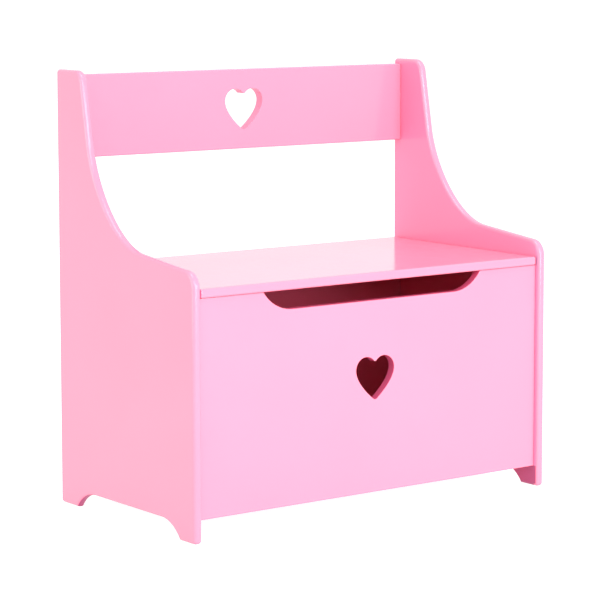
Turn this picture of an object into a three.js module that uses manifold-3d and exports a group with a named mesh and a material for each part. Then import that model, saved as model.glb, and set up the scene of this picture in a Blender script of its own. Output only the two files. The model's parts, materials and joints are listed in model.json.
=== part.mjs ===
// Toy-box bench in painted board: an open-topped box between two tall side panels,
// a hinged lid that is also the seat, and a back rail. Hearts are cut in the rail and the front.
//
// Units are millimetres. X runs to the sitter's left, Y to the rear, Z up.
// The origin is on the floor, at the middle of the footprint.

import * as THREE from 'three';
import { mergeVertices } from 'three/addons/utils/BufferGeometryUtils.js';
import Module from 'manifold-3d';

// Overall size and board stock.
const WIDTH = 600;
const DEPTH = 327;
const HEIGHT = 597;
const BOARD = 12;
const RAIL_BOARD = 15;
const FIT = 0.3;
const SIDE_ROUND = 4.5;
const PANEL_ROUND = 2;
const INNER_X = WIDTH / 2 - BOARD;
const REAR_Y = DEPTH / 2;

// Side panel outline.
const UPRIGHT_TOP_Y = 103.1;
const UPRIGHT_LEAN = THREE.MathUtils.degToRad(10.1);
const UPRIGHT_CORNER_RADIUS = 19;
const SWEEP_TOP = new THREE.Vector2(85.2, 497.7);
const SWEEP_TOP_PULL = 58.4;
const SWEEP_END = new THREE.Vector2(-37.6, 363.5);
const SWEEP_END_PULL = 58.2;
const ARM_SLOPE = THREE.MathUtils.degToRad(6);
const ARM_FRONT_RADIUS = 22;
const ARCH_HEIGHT = 22.8;
const ARCH_RADIUS = 55;
const ARCH_FRONT_Y = -82.5;
const ARCH_REAR_Y = 77;
const FOOT_RADIUS = 5;

// Lid, which is also the seat.
const LID_BOTTOM_Z = 317;
const LID_FRONT_Y = -REAR_Y + 4.2;
const LID_REAR_Y = REAR_Y - 5.3;
const LID_END_GAP = 1.5;
const LID_ROUND = 4;
const LID_CORNER_RADIUS = 5;

// Front and back panels of the box.
const FRONT_SETBACK = 7.6;
const BACK_SETBACK = 5.6;
const PANEL_BOTTOM_Z = 29.3;
const FRONT_TOP_Z = LID_BOTTOM_Z - 0.4;
const BACK_TOP_Z = LID_BOTTOM_Z - 3.6;
const PANEL_LENGTH = 2 * (INNER_X - FIT);
const GRIP_BOTTOM_Z = 291.1;
const GRIP_FLAT_HALF = 137.7;
const GRIP_RADIUS = 56;

// Back rail.
const RAIL_SETBACK = 2.5;
const RAIL_BOTTOM_Z = 476.3;
const RAIL_TOP_Z = 589.3;

// Hearts, all alike, about their own centre.
const FRONT_HEART_Z = 185.8;
const RAIL_HEART_Z = 532.6;
const HEART_LOBE = new THREE.Vector2(15.1, 11.9);
const HEART_LOBE_RADIUS = 17.4;
const HEART_CLEFT_RADIUS = 2.6;
const HEART_SIDE_ANGLE = THREE.MathUtils.degToRad(-4.4);
const HEART_TIP_RADIUS = 5.7;
const HEART_TIP_Z = -29.4;
const HEART_TIP_ANGLE = THREE.MathUtils.degToRad(-51);
const HEART_SIDE_PULL = 13;
const HEART_TIP_PULL = 18.2;

// Floor board, held in a groove of all four walls.
const FLOOR_BOARD = 6;
const FLOOR_BOTTOM_Z = 42;
const GROOVE_DEPTH = 5;

// Cam fittings and dowels that join the cross panels to the side panels.
// Their line runs at a fixed distance in front of each cross panel's rear face.
const FITTING_LINE = 6;
const PANEL_CAM_ZS = [85, 220];
const PANEL_DOWEL_ZS = [175];
const RAIL_FITTING_OFFSET = 28;
const CAM_RADIUS = 6;
const CAM_HEIGHT = 9;
const CAM_FROM_END = 24;
const CAM_BORE_RADIUS = 6.2;
const CAM_BORE_DEPTH = 9.5;
const CAM_SINK = 0.2;
const CAM_BOLT_Z = CAM_HEIGHT + CAM_SINK - FITTING_LINE;
const CAM_MOUTH_RADIUS = 3.1;
const CAM_RECESS_LENGTH = 7;
const CAM_RECESS_WIDTH = 1.3;
const CAM_RECESS_DEPTH = 1.6;
const BOLT_THREAD_RADIUS = 2.4;
const BOLT_THREAD_LENGTH = 8.5;
const BOLT_BODY_RADIUS = 2.8;
const BOLT_NECK_RADIUS = 1.6;
const BOLT_TAPER = 1;
const BOLT_NECK_START = 17;
const BOLT_HEAD_START = 21.5;
const BOLT_HEAD_END = 25.5;
const BOLT_BORE_RADIUS = 3.1;
const BOLT_THREAD_BORE_RADIUS = 2.6;
const DOWEL_RADIUS = 3;
const DOWEL_BORE_RADIUS = 3.15;
const DOWEL_IN_SIDE = 9;
const DOWEL_IN_PANEL = 19;
const DOWEL_CHAMFER = 0.8;
const BORE_END_GAP = 0.3;

// Butt hinges between the back panel's top edge and the lid.
const HINGE_AXIS_Y = LID_REAR_Y + 2.5;
const HINGE_AXIS_Z = LID_BOTTOM_Z - 1.8;
const HINGE_X = 190;
const HINGE_LENGTH = 50;
const KNUCKLE_COUNT = 5;
const KNUCKLE_RADIUS = 2.2;
const PIN_RADIUS = 1.1;
const PIN_BORE_RADIUS = 1.25;
const PIN_HEAD_RADIUS = 1.7;
const PIN_HEAD_HEIGHT = 0.8;
const LEAF_THICKNESS = 1.2;
const LEAF_REACH = 12.2;
const LEAF_START = 2.5;
const LEAF_HOLE_REACH = 8.1;
const LEAF_HOLE_HALF_SPACING = 15;

// Countersunk screws.
const SCREW_HEAD_RADIUS = 2.4;
const SCREW_HEAD_HEIGHT = 1.1;
const SCREW_SHANK_RADIUS = 1.2;
const SCREW_TIP_LENGTH = 1.5;
const SCREW_LENGTH = 9.5;
const SCREW_BORE_RADIUS = 1.4;
const SINK_GAP = 0.15;

// Folding friction stay on the left side: two arms between a side bracket and a lid bracket.
// Lower arm, lid and upper arm stay parallel in pairs, so the four pivots are a parallelogram.
const HINGE_AXIS = new THREE.Vector2(HINGE_AXIS_Y, HINGE_AXIS_Z);
const LID_PIVOT_OFFSET = new THREE.Vector2(-100, -8);
const SIDE_PIVOT_OFFSET = new THREE.Vector2(-35, -90);
const LID_PIVOT = HINGE_AXIS.clone().add(LID_PIVOT_OFFSET);
const SIDE_PIVOT = HINGE_AXIS.clone().add(SIDE_PIVOT_OFFSET);
const ELBOW = LID_PIVOT.clone().add(SIDE_PIVOT).sub(HINGE_AXIS);
const STAY_SHEET = 1.5;
const STAY_LAYER = STAY_SHEET + FIT;
const ARM_HALF_WIDTH = 7;
const RIVET_RADIUS = 2;
const RIVET_BORE_RADIUS = 2.3;
const RIVET_HEAD_RADIUS = 4.4;
const RIVET_HEAD_HEIGHT = 1.1;
const SIDE_BRACKET_HALF_WIDTH = 8;
const SIDE_BRACKET_HALF_HEIGHT = 26;
const SIDE_BRACKET_CORNER_RADIUS = 4;
const SIDE_BRACKET_SCREW_Z = 18;
const SIDE_BRACKET_POCKET_RADIUS = 5.4;
const LID_BRACKET_HALF_LENGTH = 18;
const LID_BRACKET_WIDTH = 18;
const LID_BRACKET_SCREW_Y = 12;
const LID_BRACKET_SCREW_INSET = 10;

// The face of each layer of the stay that looks into the box, from the left panel inwards.
const SIDE_BRACKET_X = FIT + STAY_SHEET - INNER_X;
const BRACKET_PAD_X = SIDE_BRACKET_X + STAY_SHEET;
const LOWER_ARM_X = BRACKET_PAD_X + STAY_LAYER;
const UPPER_ARM_X = LOWER_ARM_X + STAY_LAYER;
const LID_FLANGE_X = UPPER_ARM_X + STAY_LAYER;

// Number of straight steps in each arc, curve and rounded edge, and of flat faces on round pieces.
const LARGE_ARC_STEPS = 10;
const MEDIUM_ARC_STEPS = 8;
const SMALL_ARC_STEPS = 5;
const TIGHT_ARC_STEPS = 3;
const SWEEP_STEPS = 16;
const FLANK_STEPS = 6;
const FINE_EDGE_STEPS = 3;
const EDGE_STEPS = 2;
const BORE_FACES = 12;
const BOLT_FACES = 8;
const SMALL_FACES = 16;
const CUTTER_MARGIN = 1;
const MERGE_DISTANCE = 1e-3;

const X = new THREE.Vector3(1, 0, 0);
const Y = new THREE.Vector3(0, 1, 0);
const Z = new THREE.Vector3(0, 0, 1);

const wasm = await Module();
wasm.setup();

const paint = { color: 0xf29bbd, roughness: 0.3, metalness: 0 };
const beech = { color: 0xd8b384, roughness: 0.7, metalness: 0 };
const zinc = { color: 0xb9bcc0, roughness: 0.35, metalness: 1 };
const steel = { color: 0xc4c6c9, roughness: 0.28, metalness: 1 };

// ---------------------------------------------------------------- outlines and solids

function arc(centre, radius, from, to, steps = LARGE_ARC_STEPS) {
  const curve = new THREE.EllipseCurve(centre.x, centre.y, radius, radius, from, to, to < from);
  return curve.getPoints(steps);
}

// Points of a round corner of the given radius where the lines from, at and at, to meet.
function roundCorner(from, at, to, radius, steps = SMALL_ARC_STEPS) {
  const back = from.clone().sub(at).normalize();
  const ahead = to.clone().sub(at).normalize();
  const halfAngle = back.angleTo(ahead) / 2;
  const centre = back.clone().add(ahead).setLength(radius / Math.sin(halfAngle)).add(at);
  const start = at.clone().addScaledVector(back, radius / Math.tan(halfAngle));
  const startAngle = start.sub(centre).angle();
  const turn = Math.PI - 2 * halfAngle;
  const sign = back.cross(ahead) > 0 ? -1 : 1;
  return arc(centre, radius, startAngle, startAngle + sign * turn, steps);
}

function shapeOf(points) {
  const tolerance = 0.001;
  const distinct = points.filter((point, i) => {
    const next = points[(i + 1) % points.length];
    return point.distanceTo(next) > tolerance;
  });
  return new THREE.Shape(distinct);
}

function roundedRectangle(width, height, radius) {
  const corners = [[1, -1], [1, 1], [-1, 1], [-1, -1]];
  const points = corners.map(([u, v]) => new THREE.Vector2(u * width / 2, v * height / 2));
  return shapeOf(points.flatMap((at, i) =>
    roundCorner(points[(i + 3) % 4], at, points[(i + 1) % 4], radius)));
}

// A plate from z = 0 to z = thickness, with its outer edges rounded over.
function plate(shape, thickness, round = 0, steps = EDGE_STEPS) {
  const geometry = new THREE.ExtrudeGeometry(shape, {
    depth: thickness - 2 * round,
    bevelEnabled: round > 0,
    bevelThickness: round,
    bevelSize: round,
    bevelOffset: -round,
    bevelSegments: steps,
  });
  return geometry.translate(0, 0, round);
}

function toSolid(geometry) {
  const bare = geometry.clone();
  bare.deleteAttribute('normal');
  bare.deleteAttribute('uv');
  const merged = mergeVertices(bare, MERGE_DISTANCE);
  const mesh = new wasm.Mesh({
    numProp: 3,
    vertProperties: new Float32Array(merged.attributes.position.array),
    triVerts: new Uint32Array(merged.index.array),
  });
  return new wasm.Manifold(mesh);
}

function toGeometry(solid) {
  const mesh = solid.getMesh();
  const geometry = new THREE.BufferGeometry();
  geometry.setAttribute('position', new THREE.BufferAttribute(mesh.vertProperties, 3));
  geometry.setIndex(new THREE.BufferAttribute(mesh.triVerts, 1));
  geometry.computeVertexNormals();
  return geometry;
}

function join(first, ...others) {
  return toGeometry(others.reduce((solid, other) => solid.add(toSolid(other)), toSolid(first)));
}

function cut(body, ...cutters) {
  return toGeometry(cutters.reduce((solid, cutter) => solid.subtract(toSolid(cutter)), toSolid(body)));
}

function block(low, high) {
  const size = high.map((value, i) => value - low[i]);
  const middle = high.map((value, i) => (value + low[i]) / 2);
  return new THREE.BoxGeometry(...size).translate(...middle);
}

// A rod of round section along the given direction from the given start point.
function rod(start, direction, length, radius, faces = BORE_FACES) {
  const geometry = new THREE.CylinderGeometry(radius, radius, length, faces);
  geometry.translate(0, length / 2, 0);
  geometry.applyQuaternion(new THREE.Quaternion().setFromUnitVectors(Y, direction));
  return geometry.translate(...start);
}

// A turned piece about Z from its [radius, height] outline, bottom to top.
function turned(outline, faces = SMALL_FACES) {
  const points = outline.map(([radius, height]) => new THREE.Vector2(radius, height));
  return new THREE.LatheGeometry(points, faces).rotateX(Math.PI / 2);
}

function piece(name, geometry, finish) {
  const mesh = new THREE.Mesh(geometry, new THREE.MeshStandardMaterial(finish));
  mesh.name = name;
  return mesh;
}

// Turns an object so that its own x, y and z axes point along the three given directions.
function orient(object, x, y, z) {
  object.quaternion.setFromRotationMatrix(new THREE.Matrix4().makeBasis(x, y, z));
  return object;
}

// ---------------------------------------------------------------- joints between panels

// Where each cross panel meets the side panels: its rear face, its thickness, the face that its cams
// open to, and the heights of its fittings.
const FRONT_Y = -REAR_Y + FRONT_SETBACK + BOARD;
const BACK_Y = REAR_Y - BACK_SETBACK;
const RAIL_Y = REAR_Y - RAIL_SETBACK;
const RAIL_MIDDLE_Z = (RAIL_BOTTOM_Z + RAIL_TOP_Z) / 2;
const crossPanels = [
  { name: 'front', rearY: FRONT_Y, board: BOARD, camFace: 1, cams: PANEL_CAM_ZS, dowels: PANEL_DOWEL_ZS },
  { name: 'back', rearY: BACK_Y, board: BOARD, camFace: -1, cams: PANEL_CAM_ZS, dowels: PANEL_DOWEL_ZS },
  {
    name: 'rail',
    rearY: RAIL_Y,
    board: RAIL_BOARD,
    camFace: 1,
    cams: [RAIL_MIDDLE_Z + RAIL_FITTING_OFFSET],
    dowels: [RAIL_MIDDLE_Z - RAIL_FITTING_OFFSET],
  },
];
const [frontJoint, backJoint, railJoint] = crossPanels;

// Bores in both ends of a cross panel, in the panel's frame: u across, v up, w from its rear face.
function endBores(joint) {
  const end = PANEL_LENGTH / 2 + CUTTER_MARGIN;
  const camStart = joint.camFace > 0 ? -CUTTER_MARGIN : joint.board - CAM_BORE_DEPTH;
  const camLength = CAM_BORE_DEPTH + CUTTER_MARGIN;
  return [-1, 1].flatMap((side) => {
    const inward = X.clone().multiplyScalar(-side);
    const camU = side * (INNER_X - CAM_FROM_END);
    const cams = joint.cams.flatMap((v) => [
      rod([camU, v, camStart], Z, camLength, CAM_BORE_RADIUS, SMALL_FACES),
      rod([side * end, v, FITTING_LINE], inward, end - Math.abs(camU), BOLT_BORE_RADIUS),
    ]);
    const dowelDepth = DOWEL_IN_PANEL + BORE_END_GAP + CUTTER_MARGIN;
    const dowels = joint.dowels.map((v) =>
      rod([side * end, v, FITTING_LINE], inward, dowelDepth, DOWEL_BORE_RADIUS));
    return [...cams, ...dowels];
  });
}

// Blind bores in the inner face of a side panel, in its frame: u rearwards, v up, w to the right.
function sideBores(side) {
  const faceW = side > 0 ? -CUTTER_MARGIN : BOARD + CUTTER_MARGIN;
  const outward = Z.clone().multiplyScalar(side);
  const bore = (u, v, depth, radius) =>
    rod([u, v, faceW], outward, depth + BORE_END_GAP + CUTTER_MARGIN, radius);
  return crossPanels.flatMap((joint) => {
    const u = joint.rearY - FITTING_LINE;
    return [
      ...joint.cams.map((v) => bore(u, v, BOLT_THREAD_LENGTH, BOLT_THREAD_BORE_RADIUS)),
      ...joint.dowels.map((v) => bore(u, v, DOWEL_IN_SIDE, DOWEL_BORE_RADIUS)),
    ];
  });
}

function camGeometry() {
  const disc = rod([0, 0, 0], Z, CAM_HEIGHT, CAM_RADIUS, SMALL_FACES);
  const mouthLength = CAM_RADIUS + CUTTER_MARGIN + BOLT_HEAD_END - CAM_FROM_END + FIT;
  const mouth = rod([-CAM_RADIUS - CUTTER_MARGIN, 0, CAM_BOLT_Z], X, mouthLength, CAM_MOUTH_RADIUS);
  const recessTop = CAM_HEIGHT + CUTTER_MARGIN;
  const recessBottom = CAM_HEIGHT - CAM_RECESS_DEPTH;
  const half = CAM_RECESS_LENGTH / 2;
  const thin = CAM_RECESS_WIDTH / 2;
  const recess = join(
    block([-half, -thin, recessBottom], [half, thin, recessTop]),
    block([-thin, -half, recessBottom], [thin, half, recessTop]),
  );
  return cut(disc, mouth, recess);
}

// A cam bolt along +Z: the thread is below z = 0, in the side panel, and the head is held by the cam.
function boltGeometry() {
  return turned([
    [0, -BOLT_THREAD_LENGTH],
    [BOLT_THREAD_RADIUS, -BOLT_THREAD_LENGTH],
    [BOLT_THREAD_RADIUS, FIT],
    [BOLT_BODY_RADIUS, FIT],
    [BOLT_BODY_RADIUS, BOLT_NECK_START],
    [BOLT_NECK_RADIUS, BOLT_NECK_START + BOLT_TAPER],
    [BOLT_NECK_RADIUS, BOLT_HEAD_START],
    [BOLT_BODY_RADIUS, BOLT_HEAD_START + BOLT_TAPER],
    [BOLT_NECK_RADIUS, BOLT_HEAD_END],
    [0, BOLT_HEAD_END],
  ], BOLT_FACES);
}

function dowelGeometry() {
  return turned([
    [0, -DOWEL_IN_SIDE],
    [DOWEL_RADIUS - DOWEL_CHAMFER, -DOWEL_IN_SIDE],
    [DOWEL_RADIUS, DOWEL_CHAMFER - DOWEL_IN_SIDE],
    [DOWEL_RADIUS, DOWEL_IN_PANEL - DOWEL_CHAMFER],
    [DOWEL_RADIUS - DOWEL_CHAMFER, DOWEL_IN_PANEL],
    [0, DOWEL_IN_PANEL],
  ], BOLT_FACES);
}

// The cams, cam bolts and dowels of one cross panel, at both of its ends.
function fittings(joint) {
  const group = new THREE.Group();
  for (const [label, side] of [['left', -1], ['right', 1]]) {
    const inward = X.clone().multiplyScalar(-side);
    const lineY = joint.rearY - FITTING_LINE;
    const camBackY = lineY - joint.camFace * CAM_BOLT_Z;
    joint.cams.forEach((z, i) => {
      const suffix = joint.cams.length > 1 ? `_${['lower', 'upper'][i]}` : '';
      const facing = Y.clone().multiplyScalar(joint.camFace);
      const cam = piece(`${joint.name}_${label}_cam${suffix}`, camGeometry(), zinc);
      orient(cam, X.clone().multiplyScalar(-side), new THREE.Vector3().crossVectors(facing, inward), facing);
      cam.position.set(side * (INNER_X - CAM_FROM_END), camBackY, z);
      const bolt = piece(`${joint.name}_${label}_cam_bolt${suffix}`, boltGeometry(), steel);
      orient(bolt, Y, new THREE.Vector3().crossVectors(inward, Y), inward);
      bolt.position.set(side * INNER_X, lineY, z);
      group.add(cam, bolt);
    });
    for (const z of joint.dowels) {
      const dowel = piece(`${joint.name}_${label}_dowel`, dowelGeometry(), beech);
      orient(dowel, Y, new THREE.Vector3().crossVectors(inward, Y), inward);
      dowel.position.set(side * INNER_X, lineY, z);
      group.add(dowel);
    }
  }
  return group;
}

// ---------------------------------------------------------------- panels

// Side outline in u (rearwards) and v (up), anticlockwise from the rear foot.
function sideOutline() {
  const rearBottom = new THREE.Vector2(REAR_Y, 0);
  const rearTop = new THREE.Vector2(REAR_Y, HEIGHT);
  const frontTop = new THREE.Vector2(UPRIGHT_TOP_Y, HEIGHT);
  const lean = new THREE.Vector2(-Math.sin(UPRIGHT_LEAN), -Math.cos(UPRIGHT_LEAN));
  const leanEnd = frontTop.clone().add(lean);
  const arm = new THREE.Vector2(-Math.cos(ARM_SLOPE), -Math.sin(ARM_SLOPE));
  const armLength = (SWEEP_END.x + REAR_Y) / Math.cos(ARM_SLOPE);
  const armFront = SWEEP_END.clone().addScaledVector(arm, armLength);
  const frontBottom = new THREE.Vector2(-REAR_Y, 0);
  const sweep = new THREE.CubicBezierCurve(
    SWEEP_TOP,
    SWEEP_TOP.clone().addScaledVector(lean, SWEEP_TOP_PULL),
    SWEEP_END.clone().addScaledVector(arm, -SWEEP_END_PULL),
    SWEEP_END,
  );
  const archCentreZ = ARCH_HEIGHT - ARCH_RADIUS;
  const archAngle = Math.acos(-archCentreZ / ARCH_RADIUS);
  const archReach = ARCH_RADIUS * Math.sin(archAngle);
  const archFront = new THREE.Vector2(ARCH_FRONT_Y, archCentreZ);
  const archRear = new THREE.Vector2(ARCH_REAR_Y, archCentreZ);
  const archRearFoot = new THREE.Vector2(ARCH_REAR_Y + archReach, 0);
  const up = Math.PI / 2;
  return shapeOf([
    ...roundCorner(archRearFoot, rearBottom, rearTop, FOOT_RADIUS, TIGHT_ARC_STEPS),
    ...roundCorner(rearBottom, rearTop, frontTop, FOOT_RADIUS, TIGHT_ARC_STEPS),
    ...roundCorner(rearTop, frontTop, leanEnd, UPRIGHT_CORNER_RADIUS, MEDIUM_ARC_STEPS),
    ...sweep.getPoints(SWEEP_STEPS),
    ...roundCorner(SWEEP_END, armFront, frontBottom, ARM_FRONT_RADIUS, MEDIUM_ARC_STEPS),
    ...roundCorner(armFront, frontBottom, rearBottom, FOOT_RADIUS, TIGHT_ARC_STEPS),
    ...arc(archFront, ARCH_RADIUS, up + archAngle, up, MEDIUM_ARC_STEPS),
    ...arc(archRear, ARCH_RADIUS, up, up - archAngle, MEDIUM_ARC_STEPS),
  ]);
}

function sidePanel(name, side, extraBores = []) {
  const grooveW = side > 0 ? [-CUTTER_MARGIN, GROOVE_DEPTH] : [BOARD - GROOVE_DEPTH, BOARD + CUTTER_MARGIN];
  const groove = block(
    [FRONT_Y - GROOVE_DEPTH, FLOOR_BOTTOM_Z - FIT, grooveW[0]],
    [BACK_Y - BOARD + GROOVE_DEPTH, FLOOR_BOTTOM_Z + FLOOR_BOARD + FIT, grooveW[1]],
  );
  const board = plate(sideOutline(), BOARD, SIDE_ROUND, FINE_EDGE_STEPS);
  const mesh = piece(name, cut(board, groove, ...sideBores(side), ...extraBores), paint);
  mesh.position.x = side > 0 ? INNER_X : -INNER_X - BOARD;
  return orient(mesh, Y, Z, X);
}

// Half a heart from its cleft to its tip, mirrored to close it, about its own centre.
function heartShape() {
  const cleftToLobe = HEART_LOBE_RADIUS + HEART_CLEFT_RADIUS;
  const rise = Math.sqrt(cleftToLobe ** 2 - HEART_LOBE.x ** 2);
  const cleft = new THREE.Vector2(0, HEART_LOBE.y + rise);
  const lobeStart = Math.atan2(rise, -HEART_LOBE.x);
  const side = new THREE.Vector2(Math.cos(HEART_SIDE_ANGLE), Math.sin(HEART_SIDE_ANGLE));
  const sideStart = side.clone().multiplyScalar(HEART_LOBE_RADIUS).add(HEART_LOBE);
  const tip = new THREE.Vector2(0, HEART_TIP_Z + HEART_TIP_RADIUS);
  const tipSide = new THREE.Vector2(Math.cos(HEART_TIP_ANGLE), Math.sin(HEART_TIP_ANGLE));
  const sideEnd = tipSide.clone().multiplyScalar(HEART_TIP_RADIUS).add(tip);
  const flank = new THREE.CubicBezierCurve(
    sideStart,
    sideStart.clone().add(new THREE.Vector2(side.y, -side.x).multiplyScalar(HEART_SIDE_PULL)),
    sideEnd.clone().add(new THREE.Vector2(-tipSide.y, tipSide.x).multiplyScalar(HEART_TIP_PULL)),
    sideEnd,
  );
  const half = [
    ...arc(cleft, HEART_CLEFT_RADIUS, -Math.PI / 2, lobeStart - Math.PI, TIGHT_ARC_STEPS),
    ...arc(HEART_LOBE, HEART_LOBE_RADIUS, lobeStart, HEART_SIDE_ANGLE, LARGE_ARC_STEPS),
    ...flank.getPoints(FLANK_STEPS),
    ...arc(tip, HEART_TIP_RADIUS, HEART_TIP_ANGLE, -Math.PI / 2, TIGHT_ARC_STEPS),
  ];
  const mirrored = half.map((point) => new THREE.Vector2(-point.x, point.y)).reverse();
  return shapeOf([...half, ...mirrored]);
}

function heartCutter(z, board) {
  return plate(heartShape(), board + 2 * CUTTER_MARGIN).translate(0, z, -CUTTER_MARGIN);
}

function crossPanelMesh(name, shape, joint, cutters) {
  const board = plate(shape, joint.board, PANEL_ROUND);
  const mesh = piece(name, cut(board, ...endBores(joint), ...cutters), paint);
  mesh.position.y = joint.rearY;
  return orient(mesh, X, Z, Y.clone().negate());
}

// A groove for the floor board along a cross panel, open to its rear or its front face.
function floorGroove(face) {
  const w = face > 0 ? [-CUTTER_MARGIN, GROOVE_DEPTH] : [BOARD - GROOVE_DEPTH, BOARD + CUTTER_MARGIN];
  return block(
    [-WIDTH / 2, FLOOR_BOTTOM_Z - FIT, w[0]],
    [WIDTH / 2, FLOOR_BOTTOM_Z + FLOOR_BOARD + FIT, w[1]],
  );
}

function rectangle(width, bottom, top) {
  const half = width / 2;
  return shapeOf([
    new THREE.Vector2(-half, bottom),
    new THREE.Vector2(half, bottom),
    new THREE.Vector2(half, top),
    new THREE.Vector2(-half, top),
  ]);
}

// Front panel outline: a rectangle with a wide shallow hand grip in its top edge.
function frontShape() {
  const half = PANEL_LENGTH / 2;
  const gripCentreZ = GRIP_BOTTOM_Z + GRIP_RADIUS;
  const gripAngle = Math.acos((gripCentreZ - FRONT_TOP_Z) / GRIP_RADIUS);
  const down = -Math.PI / 2;
  const right = new THREE.Vector2(GRIP_FLAT_HALF, gripCentreZ);
  const left = new THREE.Vector2(-GRIP_FLAT_HALF, gripCentreZ);
  return shapeOf([
    new THREE.Vector2(-half, PANEL_BOTTOM_Z),
    new THREE.Vector2(half, PANEL_BOTTOM_Z),
    new THREE.Vector2(half, FRONT_TOP_Z),
    ...arc(right, GRIP_RADIUS, down + gripAngle, down, MEDIUM_ARC_STEPS),
    ...arc(left, GRIP_RADIUS, down, down - gripAngle, MEDIUM_ARC_STEPS),
    new THREE.Vector2(-half, FRONT_TOP_Z),
  ]);
}

function frontPanel() {
  const cutters = [heartCutter(FRONT_HEART_Z, BOARD), floorGroove(frontJoint.camFace)];
  return crossPanelMesh('front_panel', frontShape(), frontJoint, cutters);
}

function backPanel() {
  const screwW = BACK_Y - (HINGE_AXIS_Y - LEAF_HOLE_REACH);
  const down = Y.clone().negate();
  const depth = SCREW_LENGTH + BORE_END_GAP + CUTTER_MARGIN;
  const screwBores = hingeScrewXs().map((x) =>
    rod([x, BACK_TOP_Z + CUTTER_MARGIN, screwW], down, depth, SCREW_BORE_RADIUS));
  const shape = rectangle(PANEL_LENGTH, PANEL_BOTTOM_Z, BACK_TOP_Z);
  return crossPanelMesh('back_panel', shape, backJoint, [floorGroove(backJoint.camFace), ...screwBores]);
}

function backRail() {
  const shape = rectangle(PANEL_LENGTH, RAIL_BOTTOM_Z, RAIL_TOP_Z);
  return crossPanelMesh('back_rail', shape, railJoint, [heartCutter(RAIL_HEART_Z, RAIL_BOARD)]);
}

function floorPanel() {
  const tongue = GROOVE_DEPTH - FIT;
  const halfX = INNER_X + tongue;
  const low = [-halfX, FRONT_Y - tongue, FLOOR_BOTTOM_Z];
  const high = [halfX, BACK_Y - BOARD + tongue, FLOOR_BOTTOM_Z + FLOOR_BOARD];
  return piece('floor_panel', block(low, high), paint);
}

function lidPanel() {
  const width = 2 * (INNER_X - LID_END_GAP);
  const depth = LID_REAR_Y - LID_FRONT_Y;
  const middleY = (LID_REAR_Y + LID_FRONT_Y) / 2;
  const outline = roundedRectangle(width, depth, LID_CORNER_RADIUS);
  const board = plate(outline, BOARD, LID_ROUND, FINE_EDGE_STEPS);
  board.translate(0, middleY, LID_BOTTOM_Z);
  const hingeHoles = hingeScrewXs().map((x) => [x, HINGE_AXIS_Y - LEAF_HOLE_REACH]);
  const holes = [...hingeHoles, ...lidBracketScrews()];
  const bores = holes.map(([x, y]) =>
    rod([x, y, LID_BOTTOM_Z - CUTTER_MARGIN], Z, SCREW_LENGTH + CUTTER_MARGIN, SCREW_BORE_RADIUS));
  return piece('lid_panel', cut(board, ...bores), paint);
}

// ---------------------------------------------------------------- screws, rivets and hinges

// A countersunk screw along -Z, with the flat of its head at z = 0.
function screwGeometry() {
  return turned([
    [0, -SCREW_LENGTH],
    [SCREW_SHANK_RADIUS, SCREW_TIP_LENGTH - SCREW_LENGTH],
    [SCREW_SHANK_RADIUS, -SCREW_HEAD_HEIGHT],
    [SCREW_HEAD_RADIUS, 0],
    [0, 0],
  ], BORE_FACES);
}

// The matching hole along -Z through a sheet whose face is at z = 0.
function sinkCutter(sheet) {
  const mouth = SCREW_HEAD_RADIUS + SINK_GAP;
  const neck = SCREW_SHANK_RADIUS + SINK_GAP;
  return turned([
    [0, -sheet - CUTTER_MARGIN],
    [neck, -sheet - CUTTER_MARGIN],
    [neck, -SCREW_HEAD_HEIGHT],
    [mouth, 0],
    [mouth, CUTTER_MARGIN],
    [0, CUTTER_MARGIN],
  ], BORE_FACES);
}

function hingeScrewXs() {
  return [-1, 1].flatMap((side) =>
    [-1, 1].map((end) => side * HINGE_X + end * LEAF_HOLE_HALF_SPACING));
}

// One hinge leaf about its own pin axis, along X, with the plate reaching forwards.
// The fixed leaf has the outer knuckles and lies below the axis, the lid leaf lies above it.
function leafGeometry(isLid) {
  const half = HINGE_LENGTH / 2;
  const knuckle = HINGE_LENGTH / KNUCKLE_COUNT;
  const low = isLid ? FIT : -FIT - LEAF_THICKNESS;
  const high = low + LEAF_THICKNESS;
  const parts = [];
  for (let k = isLid ? 1 : 0; k < KNUCKLE_COUNT; k += 2) {
    const start = -half + k * knuckle + FIT / 2;
    const end = start + knuckle - FIT;
    parts.push(block([start, -LEAF_START - CUTTER_MARGIN, low], [end, 0, high]));
    parts.push(rod([start, 0, 0], X, end - start, KNUCKLE_RADIUS, SMALL_FACES));
  }
  const sheet = block([-half, -LEAF_REACH, low], [half, -LEAF_START, high]);
  const leaf = join(sheet, ...parts);
  const bore = rod([-half - CUTTER_MARGIN, 0, 0], X, HINGE_LENGTH + 2 * CUTTER_MARGIN, PIN_BORE_RADIUS);
  const sinks = [-1, 1].map((end) => {
    const sink = sinkCutter(LEAF_THICKNESS);
    if (isLid) sink.rotateX(Math.PI);
    return sink.translate(end * LEAF_HOLE_HALF_SPACING, -LEAF_HOLE_REACH, isLid ? low : high);
  });
  return cut(leaf, bore, ...sinks);
}

function pinGeometry() {
  const half = HINGE_LENGTH / 2;
  const shank = half + FIT;
  const outline = [
    [0, -shank - PIN_HEAD_HEIGHT],
    [PIN_HEAD_RADIUS, -shank - PIN_HEAD_HEIGHT],
    [PIN_HEAD_RADIUS, -shank],
    [PIN_RADIUS, -shank],
    [PIN_RADIUS, shank],
    [PIN_HEAD_RADIUS, shank],
    [PIN_HEAD_RADIUS, shank + PIN_HEAD_HEIGHT],
    [0, shank + PIN_HEAD_HEIGHT],
  ];
  return turned(outline, BORE_FACES).rotateY(Math.PI / 2);
}

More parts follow.
